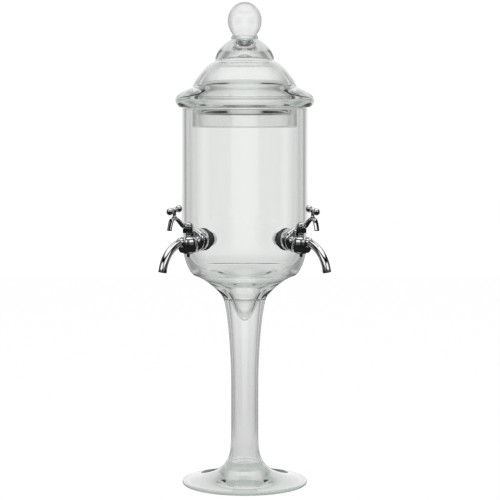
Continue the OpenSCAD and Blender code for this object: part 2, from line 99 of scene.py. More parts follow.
class Graph:
    """A node tree, with short ways to add nodes and to link them."""

    def __init__(self, tree: bpy.types.NodeTree) -> None:
        """Empties the tree.

        Args:
            tree: The node tree of a material or a world.
        """
        self.tree = tree
        tree.nodes.clear()

    def add(self, kind: str, **settings: Any) -> bpy.types.Node:
        """Adds a node.

        Args:
            kind: The node's type, without its ShaderNode prefix.
            settings: Properties of the node. Its sockets are set with put().

        Returns:
            The new node.
        """
        node = self.tree.nodes.new("ShaderNode" + kind)
        for name, value in settings.items():
            setattr(node, name, value)
        return node

    def put(self, node: bpy.types.Node, values: dict[Any, Any]) -> bpy.types.Node:
        """Sets a node's input sockets.

        Args:
            node: The node.
            values: A number, a colour or a socket to link, by the input's name or number.

        Returns:
            The same node.
        """
        for name, value in values.items():
            socket = node.inputs[name]
            if isinstance(value, Socket):
                self.tree.links.new(value, socket)
            else:
                socket.default_value = value
        return node

    def maths(self, operation: str, first: Any, second: Any = 0.0) -> Socket:
        """A number worked out from one or two others.

        Args:
            operation: The Math node's operation.
            first: A number or a socket.
            second: A number or a socket.

        Returns:
            The result's socket.
        """
        return self.put(self.add("Math", operation=operation), {0: first, 1: second}).outputs[0]

    def blend(self, share: Socket, first: Any, second: Any) -> Socket:
        """A number between two others.

        Args:
            share: How much of the second it takes, from 0 to 1.
            first: A number or a socket.
            second: A number or a socket.

        Returns:
            The result's socket.
        """
        kept = self.maths("MULTIPLY", first, self.maths("SUBTRACT", 1.0, share))
        return self.maths("ADD", kept, self.maths("MULTIPLY", second, share))

    def spread(self, value: Socket, taken: Point, given: Point = (0.0, 1.0)) -> Socket:
        """Carries a number from one span to another.

        Args:
            value: The number.
            taken: The span that it is read on.
            given: The span that it is carried to.

        Returns:
            The result's socket.
        """
        node = self.add("MapRange")
        return self.put(node, {"Value": value, "From Min": taken[0], "From Max": taken[1],
                               "To Min": given[0], "To Max": given[1]}).outputs[0]

    def ramp(self, place: Socket, span: Point, stops: Sequence[Point]) -> Socket:
        """A grey level read from a ramp.

        Args:
            place: Where to read the ramp.
            span: The ramp's first and last place.
            stops: Each stop's place and grey level.

        Returns:
            The ramp's colour socket.
        """
        node = self.add("ValToRGB")
        elements = node.color_ramp.elements
        while len(elements) < len(stops):
            elements.new(0.5)
        for element, (position, level) in zip(elements, stops):
            element.position = (position - span[0]) / (span[1] - span[0])
            element.color = (level, level, level, 1.0)
        return self.put(node, {"Fac": self.spread(place, span)}).outputs["Color"]

    def place(self, stretch: Vector = Vector((1, 1, 1))) -> Socket:
        """The place on the piece, in metres, stretched along its axes."""
        spot = self.add("TexCoord").outputs["Object"]
        return self.put(self.add("Mapping"), {"Vector": spot, "Scale": stretch}).outputs[0]

    def noise(self, place: Socket, scale: float, detail: float, rough: float) -> Socket:
        """A cloudy pattern.

        Args:
            place: Where to read it.
            scale: How many clouds there are to a metre.
            detail: How many finer layers it has.
            rough: How strong each finer layer is.

        Returns:
            The pattern's number, from 0 to 1.
        """
        return self.put(self.add("TexNoise"), {
            "Vector": place, "Scale": scale, "Detail": detail, "Roughness": rough}).outputs[0]

    def bump(self, height: Socket, strength: float, distance: float) -> Socket:
        """A raised pattern.

        Args:
            height: The pattern.
            strength: How much of it shows.
            distance: How high it is, in metres.

        Returns:
            The normal's socket.
        """
        return self.put(self.add("Bump"), {
            "Strength": strength, "Distance": distance, "Height": height}).outputs[0]

    def show(self, surface: bpy.types.Node, **inside: Socket) -> None:
        """Ends the tree with a surface, and with what is inside it."""
        kind = "OutputWorld" if surface.type == "BACKGROUND" else "OutputMaterial"
        self.put(self.add(kind), {"Surface": surface.outputs[0], **inside})


class Finish(Protocol):
    """What every finish offers."""

    slot: str

    def material(self) -> bpy.types.Material:
        """The finish as a material."""


def new_material(name: str) -> tuple[bpy.types.Material, Graph]:
    """Makes an empty material.

    Args:
        name: The material's name.

    Returns:
        The material and its node graph.
    """
    material = bpy.data.materials.new(name)
    material.use_nodes = True
    return material, Graph(material.node_tree)


@dataclass(frozen=True)
class BlownGlass:
    """Clear blown glass, with the faint waves that a blowing iron and a wooden block leave."""

    slot: str = "clear_glass"
    tint: Shade = (0.985, 0.99, 0.985, 1.0)
    body: Shade = (0.62, 0.70, 0.64, 1.0)
    depth: float = 9.0
    index: float = 1.5
    waves: Triple = (26.0, 1.0, 0.4)
    wave_stretch: float = 0.35
    wave_strength: float = 0.35
    wave_height: float = 0.00025
    swirls: Triple = (90.0, 2.0, 0.5)
    haze: float = 0.012
    turns: float = 1.5
    walls: float = 9.5

    def material(self) -> bpy.types.Material:
        """Builds the glass.

        Returns:
            A material of clear glass whose body is faintly green where it is thick. Light that is
            thrown back and forth inside it, or that has come through many walls, goes straight out.
        """
        material, graph = new_material(self.slot)
        wave = graph.noise(graph.place(Vector((1, 1, self.wave_stretch))), *self.waves)
        shader = graph.put(graph.add("BsdfPrincipled"), {
            "Base Color": self.tint, "IOR": self.index, "Transmission Weight": 1.0,
            "Roughness": graph.maths("MULTIPLY", graph.noise(graph.place(), *self.swirls), self.haze),
            "Normal": graph.bump(wave, self.wave_strength, self.wave_height)})
        path = graph.add("LightPath").outputs
        trapped = graph.maths("MAXIMUM", graph.maths("GREATER_THAN", path["Glossy Depth"], self.turns),
                              graph.maths("GREATER_THAN", path["Transmission Depth"], self.walls))
        let_out = graph.put(graph.add("MixShader"), {
            0: trapped, 1: shader.outputs[0], 2: graph.add("BsdfTransparent").outputs[0]})
        green = graph.put(graph.add("VolumeAbsorption"), {"Color": self.body, "Density": self.depth})
        graph.show(let_out, Volume=green.outputs[0])
        return material


@dataclass(frozen=True)
class ChromePlate:
    """Polished chrome plate, with the soft orange peel and hairlines of a buffed casting."""

    slot: str = "chrome_plate"
    colour: Shade = (0.78, 0.785, 0.79, 1.0)
    smooth: float = 0.035
    worn: float = 0.12
    clouds: Triple = (160.0, 3.0, 0.55)
    cloud_span: Point = (0.35, 0.75)
    peel: Triple = (700.0, 1.0, 0.4)
    hairs: Triple = (900.0, 2.0, 0.6)
    hair_stretch: float = 9.0
    hair_share: float = 0.25
    strength: float = 0.18
    height: float = 0.00004

    def material(self) -> bpy.types.Material:
        """Builds the chrome.

        Returns:
            A metallic material whose polish varies a little from place to place.
        """
        material, graph = new_material(self.slot)
        place = graph.place()
        cloud, peel = graph.noise(place, *self.clouds), graph.noise(place, *self.peel)
        hair = graph.noise(graph.place(Vector((1, 1, self.hair_stretch))), *self.hairs)
        grain = graph.maths("ADD", peel, graph.maths("MULTIPLY", hair, self.hair_share))
        graph.show(graph.put(graph.add("BsdfPrincipled"), {
            "Base Color": self.colour, "Metallic": 1.0,
            "Roughness": graph.spread(cloud, self.cloud_span, (self.smooth, self.worn)),
            "Normal": graph.bump(grain, self.strength, self.height)}))
        return material


@dataclass(frozen=True)
class MouldedRubber:
    """Matt black moulded rubber, dusty in its grain."""

    slot: str = "black_rubber"
    colour: Shade = (0.032, 0.032, 0.034, 1.0)
    dust: Shade = (0.09, 0.09, 0.092, 1.0)
    grain: Triple = (1300.0, 3.0, 0.65)
    bloom: Triple = (220.0, 3.0, 0.6)
    bloom_span: Point = (0.4, 0.8)
    rough: Point = (0.5, 0.8)
    strength: float = 0.5
    height: float = 0.00012

    def material(self) -> bpy.types.Material:
        """Builds the rubber.

        Returns:
            A rough dark material with a fine grain.
        """
        material, graph = new_material(self.slot)
        place = graph.place()
        grain = graph.noise(place, *self.grain)
        colour = graph.put(graph.add("Mix", data_type="RGBA"), {
            0: graph.spread(graph.noise(place, *self.bloom), self.bloom_span), 6: self.colour, 7: self.dust})
        graph.show(graph.put(graph.add("BsdfPrincipled"), {
            "Base Color": colour.outputs[2], "Roughness": graph.spread(grain, (0.0, 1.0), self.rough),
            "Normal": graph.bump(grain, self.strength, self.height)}))
        return material


@dataclass
class Outline:
    """Half of a turned section: points at a radius and a place along the axis, in millimetres."""

    points: list[Vector] = field(default_factory=list)

    @classmethod
    def start(cls, radius: float, along: float) -> "Outline":
        """An outline of one point."""
        return cls([Vector((radius, along))])

    def line(self, *stops: Point) -> "Outline":
        """Adds straight stretches.

        Args:
            stops: The points to go through.

        Returns:
            The outline itself.
        """
        self.points += [Vector(stop) for stop in stops]
        return self

    def curve(self, leave: Point, arrive: Point, end: Point, steps: int = 16) -> "Outline":
        """Adds a smooth stretch.

        Args:
            leave: The handle that it leaves towards, measured from its start.
            arrive: The handle that it arrives from, measured from its end.
            end: Where it ends.
            steps: How many short lines it is made of.

        Returns:
            The outline itself.
        """
        first, last = self.points[-1], Vector(end)
        corners = (first, first + Vector(leave), last + Vector(arrive), last)
        stops = interpolate_bezier(*[corner.to_3d() for corner in corners], steps + 1)
        self.points += [stop.to_2d() for stop in stops[1:]]
        return self

    def arc(self, centre: Point, radius: float, first: float, last: float, steps: int = 12) -> "Outline":
        """Adds an arc.

        Args:
            centre: The arc's centre.
            radius: Its radius.
            first: The angle it starts at, in degrees.
            last: The angle it ends at.
            steps: How many short lines it is made of.

        Returns:
            The outline itself.
        """
        for step in range(steps + 1):
            turn = math.radians(first + (last - first) * step / steps)
            self.points.append(Vector(centre) + radius * Vector((math.cos(turn), math.sin(turn))))
        return self

    def closed(self) -> "Outline":
        """Adds the first point again at the end."""
        self.points.append(self.points[0].copy())
        return self


def turned(outline: Outline, segments: int = 96) -> Solid:
    """Turns an outline about +Z.

    Args:
        outline: The half section, from axis to axis, or closed.
        segments: How many steps the full turn has.

    Returns:
        A closed solid in millimetres, with its faces outwards.
    """
    solid = bmesh.new()
    ring = [solid.verts.new((p.x, 0.0, p.y)) for p in outline.points]
    edges = [solid.edges.new(pair) for pair in zip(ring, ring[1:])]
    bmesh.ops.spin(solid, geom=ring + edges, cent=(0, 0, 0), axis=(0, 0, 1),
                   angle=math.tau, steps=segments, use_merge=True)
    bmesh.ops.remove_doubles(solid, verts=solid.verts, dist=WELD)
    bmesh.ops.dissolve_degenerate(solid, edges=solid.edges, dist=WELD)
    bmesh.ops.recalc_face_normals(solid, faces=solid.faces)
    return solid


def moved(solid: Solid, matrix: Matrix) -> Solid:
    """Moves a solid.

    Args:
        solid: The solid.
        matrix: The transform.

    Returns:
        The same solid.
    """
    bmesh.ops.transform(solid, matrix=matrix, verts=solid.verts)
    return solid


def shift(x: float = 0.0, y: float = 0.0, z: float = 0.0) -> Matrix:
    """A move by x, y and z."""
    return Matrix.Translation((x, y, z))


def spin_about(axis: str, degrees: float) -> Matrix:
    """A turn about an axis."""
    return Matrix.Rotation(math.radians(degrees), 4, axis)


def prism(sides: int, radius: float, height: float) -> Solid:
    """A prism that stands on the origin.

    Args:
        sides: How many sides it has.
        radius: The radius of its corners.
        height: Its height along +Z.

    Returns:
        The closed solid.
    """
    solid = bmesh.new()
    bmesh.ops.create_cone(solid, cap_ends=True, segments=sides, radius1=radius, radius2=radius,
                          depth=height, matrix=shift(z=height / 2))
    return solid


def block(size: Triple) -> Solid:
    """A block about the origin, by its length along x, y and z."""
    solid = bmesh.new()
    bmesh.ops.create_cube(solid, size=1.0, matrix=Matrix.Diagonal((*size, 1.0)))
    return solid


def combined(op: Op, solids: Sequence[Solid]) -> Solid:
    """Joins, cuts or intersects solids, one after another.

    Args:
        op: What is done with each further solid.
        solids: The solids. They are used up.

    Returns:
        The result.
    """
    holders = []
    for solid in solids:
        mesh = bpy.data.meshes.new("scratch")
        solid.to_mesh(mesh)
        solid.free()
        holder = bpy.data.objects.new("scratch", mesh)
        bpy.context.scene.collection.objects.link(holder)
        holders.append(holder)
    for tool in holders[1:]:
        step = holders[0].modifiers.new("step", "BOOLEAN")
        step.operation = op.value
        step.solver = "EXACT"
        step.object = tool
    graph = bpy.context.evaluated_depsgraph_get()
    result = bmesh.new()
    result.from_object(holders[0], graph)
    for holder in holders:
        mesh = holder.data
        bpy.data.objects.remove(holder)
        bpy.data.meshes.remove(mesh)
    bmesh.ops.remove_doubles(result, verts=result.verts, dist=WELD)
    bmesh.ops.dissolve_degenerate(result, edges=result.edges, dist=WELD)
    return result


def hexagon(across: float, height: float, bore: float, inset: float, chamfer: float) -> Solid:
    """A chamfered hexagon that stands on the origin.

    Args:
        across: Its width across the flats.
        height: Its height along +Z.
        bore: The radius of its hole, or 0.
        inset: How far inside the flats each end's face stops.
        chamfer: How far the corners' chamfers reach along it.

    Returns:
        The closed solid.
    """
    face, corner = across / 2 - inset, across / 2 / math.cos(math.radians(30))
    trim = Outline.start(bore, 0).line((face, 0), (corner, chamfer), (corner, height - chamfer))
    trim.line((face, height), (bore, height))
    return combined(Op.KEEP, [prism(6, corner, height), turned(trim.closed() if bore else trim)])


def softened(solid: Solid, width: float, above: float = 50.0) -> Solid:
    """Rounds a solid's sharp edges.

    Args:
        solid: The solid.
        width: How far each rounding reaches from its edge.
        above: The least angle between faces at a sharp edge, in degrees.

    Returns:
        The same solid.
    """
    sharp = [e for e in solid.edges if e.is_manifold and e.calc_face_angle() > math.radians(above)]
    bmesh.ops.bevel(solid, geom=sharp, offset=width, offset_type="OFFSET", affect="EDGES",
                    segments=3, profile=0.5, material=-1, clamp_overlap=True)
    return solid


@dataclass
class Workshop:
    """Turns solids into the fountain's pieces, with one material to each finish."""

    glass: Finish = BlownGlass()
    chrome: Finish = ChromePlate()
    rubber: Finish = MouldedRubber()
    made: dict[str, bpy.types.Material] = field(default_factory=dict)

    def material(self, finish: Finish) -> bpy.types.Material:
        """The finish's material, made once."""
        if finish.slot not in self.made:
            self.made[finish.slot] = finish.material()
        return self.made[finish.slot]

    def piece(self, name: str, solid: Solid, finish: Finish, body: str,
              nodes: Iterable[str], crease: float = 35.0) -> bpy.types.Object:
        """Makes a solid one of the object's pieces.

        Args:
            name: The piece's name.
            solid: The solid, in millimetres. It is used up.
            finish: What it is made of.
            body: The body that it rides on.
            nodes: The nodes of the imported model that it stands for.
            crease: The angle above which an edge stays crisp, in degrees.

        Returns:
            The new object.
        """
        moved(solid, Matrix.Scale(MM, 4))
        mesh = bpy.data.meshes.new(name)
        solid.to_mesh(mesh)
        solid.free()
        mesh.polygons.foreach_set("use_smooth", [True] * len(mesh.polygons))
        mesh.set_sharp_from_angle(angle=math.radians(crease))
        thing = bpy.data.objects.new(name, mesh)
        bpy.context.scene.collection.objects.link(thing)
        mesh.materials.append(self.material(finish))
        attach(thing, body)
        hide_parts(*nodes)
        LOG.info("%s rides on %s: %d faces", name, body, len(mesh.polygons))
        return thing


@dataclass
class Vessel:
    """The glass foot, hollow stem and bowl, blown as three gathers and joined hot."""

    foot_r: float
    foot_h: float
    joint_z: float
    rim_z: float
    bowl_r: float
    stem_top_r: float
    foot_rim_t: float = 3.9
    stem_base_r: float = 18.7
    stem_r: float = 13.6
    stem_wall: float = 2.2
    flare_h: float = 36.6
    neck_run: float = 81.8
    bowl_wall: float = 4.7
    side_h: float = 131.0
    waist_r: float = 49.6
    throat_h: float = 22.1
    floor_w: float = 29.2
    drop_h: float = 23.0
    drop_r: float = 14.9
    well_wall: float = 3.9
    rim_round: float = 1.6
    under: float = 0.2
    hole_r: float = 5.2
    segments: int = 256

    @classmethod
    def from_frame(cls) -> "Vessel":
        """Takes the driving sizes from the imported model."""
        foot_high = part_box("foot")[1] / MM
        stem_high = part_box("stem")[1] / MM
        bowl_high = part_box("bowl_side")[1] / MM
        return cls(foot_r=foot_high.x, foot_h=foot_high.z, joint_z=stem_high.z,
                   rim_z=bowl_high.z, bowl_r=bowl_high.x, stem_top_r=stem_high.x)

    @property
    def bowl_ir(self) -> float:
        """Inner radius of the bowl."""
        return self.bowl_r - self.bowl_wall

    @property
    def side_z(self) -> float:
        """Height at which the straight side begins."""
        return self.rim_z - self.side_h

    @property
    def waist_z(self) -> float:
        """Height at which the shoulder turns into the throat."""
        return self.joint_z + self.throat_h

    @property
    def round_z(self) -> float:
        """Height of the middle of the rim's rounding."""
        return self.rim_z - self.rim_round - 0.1

    def flare(self, inset: float) -> Outline:
        """The stem's outline from the foot up to its straight run, drawn in by inset."""
        outline = Outline.start(self.stem_base_r - inset, self.foot_h)
        return outline.curve((-4.75, 7.3), (0, -21.6), (self.stem_r - inset, self.foot_h + self.flare_h), 24)

    def outside(self) -> Outline:
        """The outside, from the middle of the foot's underside up to the rim."""
        half = self.foot_rim_t / 2
        joint, waist, side = self.joint_z, self.waist_z, self.side_z
        rim_x = self.foot_r - half
        outline = Outline.start(0, self.under).line((rim_x - 8, self.under)).line((rim_x, 0.4))
        outline.arc((rim_x, half), half, -75, 90, 10)
        outline.curve((-21.95, 2.6), (3.4, -8), (self.stem_base_r, self.foot_h), 32)
        outline.points += self.flare(0).points[1:]
        outline.line((self.stem_r, joint - self.neck_run))
        outline.curve((0.4, 31), (-4.5, -9.3), (self.stem_top_r, joint), 32)
        outline.curve((2.6, 5.4), (-10.4, -3.1), (self.waist_r, waist), 24)
        outline.curve((7.3, 2.2), (0, -13.1), (self.bowl_r, side), 28)
        outline.line(*[(self.bowl_r, side + self.side_h * part / 8) for part in range(1, 8)])
        outline.line((self.bowl_r, self.rim_z - self.rim_round - 3))
        return outline.arc((self.bowl_r - self.rim_round, self.round_z), self.rim_round, 0, 90, 8)

    def inside(self, grow: float = 0.0) -> Outline:
        """The inside, from the rim down to the bottom of the well, with the side drawn in by grow."""
        radius, side, waist, joint = self.bowl_ir - grow, self.side_z, self.waist_z, self.joint_z
        well_r = self.drop_r - self.well_wall
        outline = Outline.start(radius, self.rim_z - self.rim_round - 3)
        outline.line(*[(radius, side + self.side_h * part / 8) for part in range(7, 0, -1)])
        outline.line((radius, side + 2))
        outline.curve((0, -20), (22, 4.5), (radius - self.floor_w, waist - 2.6), 28)
        outline.curve((-10, -2), (2.5, 9.5), (well_r, joint), 20)
        return outline.curve((-2.5, -9.5), (6, 0), (0, joint - self.drop_h + 5.9), 20)

    def hollow(self) -> Outline:
        """The sealed hollow of the stem, from its floor up round the hanging drop."""
        joint, low = self.joint_z, self.foot_h
        outline = Outline.start(0, low - 1.2)
        outline.curve((10.5, 0), (-1.4, -1.6), (self.stem_base_r - self.stem_wall - 0.2, low + 0.6), 14)
        outline.points += self.flare(self.stem_wall).points[1:]
        outline.line((self.stem_r - self.stem_wall, joint - self.neck_run))
        outline.curve((0.4, 31), (-1.8, -12.6), (self.drop_r + 1.4, joint - 1.4), 28)
        outline.curve((0.1, 1.6), (0.4, 1.2), (self.drop_r, joint - 1), 8)
        outline.curve((-3.4, -8), (6.5, 0), (0, joint - self.drop_h), 28)
        return outline

    def solid(self, places: Sequence[Matrix]) -> Solid:
        """The whole vessel.

        Args:
            places: Each tap's own frame, in millimetres.

        Returns:
            The closed solid, with a hole for each tap's shank.
        """
        skin = self.outside()
        skin.arc((self.bowl_ir + self.rim_round, self.round_z), self.rim_round, 90, 180, 8)
        skin.points += self.inside().points
        vessel = turned(skin, self.segments)
        hollow = turned(self.hollow(), self.segments)
        holes = []
        for place in places:
            hole = prism(64, self.hole_r, self.bowl_wall + 16)
            holes.append(moved(hole, place @ shift(self.bowl_ir - 8) @ spin_about("Y", 90)))
        return combined(Op.CUT, [vessel, hollow, *holes])

    def filling(self, gap: float) -> Solid:
        """A solid that fills the bowl, clear of its glass by a gap, with which seals are fitted."""
        outline = Outline.start(0, self.rim_z - 10)
        outline.line((self.bowl_ir - gap, self.rim_z - 10))
        outline.points += self.inside(gap).points[1:]
        return turned(outline, self.segments)


@dataclass
class Lid:
    """The lift-off lid, with its rolled flange, two domes, skirt and hollow ball knob."""

    rim_z: float
    flange_r: float
    cap_z: float
    top_z: float
    skirt_z: float
    knob_r: float
    bowl_r: float
    flange_h: float = 21.5
    flange_w: float = 16.7
    dome_h: float = 25.5
    cap_r: float = 29.3
    wall: float = 4.0
    skirt_r: float = 52.2
    skirt_round: float = 1.6
    knob_half_h: float = 19.2
    knob_wall: float = 1.9
    neck_r: float = 13.0
    neck_h: float = 2.8
    lift: float = 0.15
    segments: int = 256

    @classmethod
    def from_frame(cls) -> "Lid":
        """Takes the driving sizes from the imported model."""
        lid_low, lid_high = (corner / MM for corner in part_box("lid"))
        knob_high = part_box("lid_knob")[1] / MM
        bowl_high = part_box("bowl_side")[1] / MM
        return cls(rim_z=bowl_high.z, flange_r=lid_high.x, cap_z=lid_high.z, top_z=knob_high.z,
                   skirt_z=lid_low.z, knob_r=knob_high.x, bowl_r=bowl_high.x)

    @property
    def knob_z(self) -> float:
        """Height of the centre of the knob."""
        return self.top_z - self.knob_half_h

    def ball(self, inset: float) -> Outline:
        """The knob's outline from its top down to its neck, drawn in by inset.

        Args:
            inset: How far the outline is drawn in.

        Returns:
            The outline, which ends at the top of the lid.
        """
        cap = self.cap_z
        across, half = self.knob_r - inset, self.knob_half_h - inset
        low = -math.degrees(math.asin((self.knob_z - cap - self.neck_h) / self.knob_half_h))
        outline = Outline().arc((0, 0), 1, 90, low, 48)
        outline.points = [Vector((p.x * across, self.knob_z + p.y * half)) for p in outline.points]
        outline.points[0].x = 0
        return outline.curve((-1, -2.2), (0, 1.2), (self.neck_r - inset, cap), 12)

    def solid(self) -> Solid:
        """The lid and its knob.

        Returns:
            The closed solid, with the knob's sealed hollow.
        """
        rim, cap = self.rim_z + self.lift, self.cap_z
        flange_z = self.rim_z + self.flange_h
        dome_z = flange_z + self.dome_h
        skin = self.ball(0)
        skin.curve((0.4, -0.2), (0.1, 1.7), (self.neck_r + 0.6, cap - 2.6), 8)
        skin.line((self.neck_r + 1.2, cap - 3.2))
        skin.curve((2.6, -0.5), (-0.4, 8.6), (self.cap_r, dome_z + 2), 28)
        skin.curve((0.1, -1.6), (-1.3, 0.5), (self.cap_r + 1.9, dome_z - 0.8), 6)
        skin.curve((7.8, -2.7), (-6.4, 11.5), (self.flange_r - self.flange_w, flange_z), 28)
        skin.curve((4.6, -2.9), (0, 7.15), (self.flange_r, rim + 8), 24)
        skin.curve((0, -4.4), (4.2, 0), (self.bowl_r - 1.5, rim), 14)
        skin.line((self.skirt_r + 1.4, rim))
        skin.curve((-0.9, 0), (0, 0.9), (self.skirt_r, rim - 1.4), 5)
        turn, inner = self.skirt_round, self.skirt_r - self.wall
        low, roof = self.skirt_z + turn, dome_z - self.wall
        skin.line((self.skirt_r, low))
        skin.arc((self.skirt_r - turn, low), turn, 0, -90, 6)
        skin.arc((inner + turn, low), turn, -90, -180, 6)
        skin.curve((0, flange_z - low), (13, -8), (self.cap_r - 2, roof), 28)
        skin.curve((-1.4, 1), (0.2, -0.5), (self.cap_r - self.wall, roof + 2.5), 5)
        skin.curve((-1, 6.5), (9, -5.5), (0, cap - 1 - self.wall), 28)
        hollow = self.ball(self.knob_wall)
        return combined(Op.CUT, [turned(skin, self.segments), turned(hollow.line((0, cap)), self.segments)])


ALONG = spin_about("Y", 90)


@dataclass
class Tap:
    """One plug tap, from its lock nut inside the bowl to the end of its spout."""

    side: Side
    workshop: Workshop
    vessel: Vessel
    azimuth: float
    tap_z: float
    plug_x: float
    handle_turn: float = 0.0
    shank_r: float = 4.5
    ring_play: float = 0.1
    waterway_r: float = 2.6
    barrel_r: float = 11.9
    barrel_gap: float = 6.2
    chamber_r: float = 10.0
    chamber_top: float = 3.7
    chamber_depth: float = 11.9
    ball_r: float = 5.2
    ball_reach: float = 11.0
    ball_drop: float = 1.5
    spout_r: float = 4.2
    spout_bore_r: float = 2.9
    bend_r: float = 32.0
    spout_turn: float = 60.0
    spout_drop: float = 15.0
    spout_tip: float = 4.0
    gasket_r: float = 10.9
    gasket_t: float = 4.0
    collar_r: float = 10.7
    collar_t: float = 4.5
    inner_gasket_r: float = 8.2
    inner_gasket_t: float = 2.4
    washer_r: float = 7.9
    washer_t: float = 1.2
    nut_af: float = 12.0
    nut_t: float = 5.0
    shank_end: float = 2.5
    neck_h: float = 3.3
    neck_r: float = 2.8
    head_af: float = 9.6
    head_h: float = 4.8
    hub_r: float = 5.2
    lever_t: float = 2.4
    strip_t: float = 2.2
    lever_w: float = 5.0
    lever_reach: float = 20.0
    lever_rise: float = 8.8
    lever_fall: float = 11.4
    lever_overhang: float = 7.6
    crossbar_rise: float = 8.0
    crossbar_tilt: float = 10.0
    crossbar_span: float = 12.8
    crossbar_ball_r: float = 3.5
    pitch: float = 1.0

    @classmethod
    def from_frame(cls, side: Side, workshop: Workshop, vessel: Vessel,
                   joints: Sequence[dict[str, Any]], handle_turn: float) -> "Tap":
        """Takes the tap's place from the joint of its handle.

        Args:
            side: The side that the tap is on.
            workshop: What makes the pieces.
            vessel: The vessel that carries the tap.
            joints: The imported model's joints.
            handle_turn: How far the handle stands turned at rest, in degrees.

        Returns:
            The tap.
        """
        joint = next(j for j in joints if j["name"] == f"{side.word}_handle_turn")
        x, y, z = (value / MM for value in joint["pos_m"])
        return cls(side=side, workshop=workshop, vessel=vessel, azimuth=math.degrees(math.atan2(y, x)),
                   tap_z=z, plug_x=math.hypot(x, y), handle_turn=handle_turn)

    @property
    def place(self) -> Matrix:
        """The tap's own frame, whose +X points away from the bowl."""
        return spin_about("Z", self.azimuth) @ shift(z=self.tap_z)

    @property
    def handle_place(self) -> Matrix:
        """The tap's frame at the plug's axis, turned with the handle."""
        return self.place @ shift(self.plug_x) @ spin_about("Z", self.handle_turn)

    @property
    def outlet(self) -> Matrix:
        """The frame of the outlet ball, whose +X runs along the spout's root."""
        return shift(self.plug_x + self.ball_reach, 0, -self.ball_drop) @ spin_about("Y", self.spout_drop)

    @property
    def collar_x(self) -> float:
        """Where the collar begins."""
        return self.vessel.bowl_r + self.gasket_t

    @property
    def barrel_x(self) -> float:
        """Where the barrel begins."""
        return self.collar_x + self.collar_t

    @property
    def gasket_ix(self) -> float:
        """Where the inner gasket begins, inside the bowl."""
        return math.sqrt(self.vessel.bowl_ir ** 2 - self.inner_gasket_r ** 2) - self.inner_gasket_t

    @property
    def nut_ix(self) -> float:
        """Where the lock nut begins."""
        return self.gasket_ix - self.washer_t - self.nut_t

    @property
    def hub_z(self) -> float:
        """Underside of the lever's hub."""
        return self.chamber_top + self.neck_h + self.head_h

    @property
    def crest_z(self) -> float:
        """Height of the lever's crest."""
        return self.hub_z + self.lever_t / 2 + self.lever_rise

    def build(self) -> None:
        """Builds every piece of the tap, first what is fixed and then the handle."""
        shop, word = self.workshop, self.side.word
        for name, node, shape, finish in (
                ("body_casting", "tap_body", self.casting, shop.chrome),
                ("bent_spout", "spout", self.spout, shop.chrome),
                ("collar_ring", "collar", self.collar, shop.chrome),
                ("flat_washer", "inner_washer", self.flat_washer, shop.chrome),
                ("hex_nut", "lock_nut", self.hex_nut, shop.chrome),
                ("outer_seal", "outer_gasket", self.outer_seal, shop.rubber),
                ("inner_seal", "inner_gasket", self.inner_seal, shop.rubber)):
            shop.piece(f"{word}_{name}", moved(shape(), self.place), finish, "vessel", [f"{word}_{node}"])
        for name, node, shape in (
                ("valve_plug", "plug", self.valve_plug),
                ("lever_arm", "lever", self.lever_arm),
                ("cross_handle", "crossbar", self.cross_handle),
                ("dome_nut", "cap_nut", self.dome_nut),
                ("thin_washer", "bottom_washer", self.thin_washer),
                ("slotted_screw", "bottom_screw", self.slotted_screw)):
            shop.piece(f"{word}_{name}", moved(shape(), self.handle_place), shop.chrome, f"{word}_handle",
                       [f"{word}_{node}"])

    def threaded(self, outline: Outline, start: float, end: float) -> Outline:
        """Adds a thread's crests and roots to a shank's outline.

        Args:
            outline: The shank's outline so far.
            start: Where the thread starts.
            end: Where it ends.

        Returns:
            The outline itself.
        """
        root = self.shank_r - 0.45
        for turn in range(int((end - start) / self.pitch)):
            low = start + turn * self.pitch
            outline.line((root, low), (self.shank_r, low + self.pitch * 0.45),
                         (self.shank_r, low + self.pitch * 0.6))
        return outline

    def casting(self) -> Solid:
        """The barrel with its threaded shank, the valve chamber and the outlet ball."""
        shank_x, front = self.nut_ix - self.shank_end, self.plug_x - self.barrel_gap
        barrel = Outline.start(0, self.plug_x - 12).line((self.waterway_r, self.plug_x - 12))
        barrel.line((self.waterway_r, shank_x + 0.3), (self.waterway_r + 0.3, shank_x),
                    (self.shank_r - 0.6, shank_x))
        self.threaded(barrel, shank_x + 0.4, self.barrel_x - 1)
        barrel.line((self.shank_r - 0.2, self.barrel_x - 0.3), (self.shank_r - 0.2, self.barrel_x))
        barrel.line((self.barrel_r - 2.4, self.barrel_x))
        barrel.curve((0.8, 2.6), (0, -1.4), (self.barrel_r, front - 3.4), 20)
        barrel.curve((0, 2.4), (3, -0.2), (self.barrel_r - 4.8, front), 16)
        barrel.line((0, front))
        mid = (self.chamber_top - self.chamber_depth) / 2
        chamber = Outline.start(0, -self.chamber_depth).line((self.chamber_r - 3.4, -self.chamber_depth))
        chamber.curve((2.6, 0.3), (0, -4), (self.chamber_r, mid), 20)
        chamber.curve((0, 4.5), (2.4, 0), (self.chamber_r - 3.8, self.chamber_top), 16)
        chamber.line((0, self.chamber_top))
        ball = Outline().arc((0, 0), self.ball_r, -90, 90, 32)
        ball.points[0].x = ball.points[-1].x = 0
        return combined(Op.JOIN, [
            moved(turned(barrel), ALONG), moved(turned(chamber), shift(self.plug_x)),
            moved(turned(ball), self.outlet)])

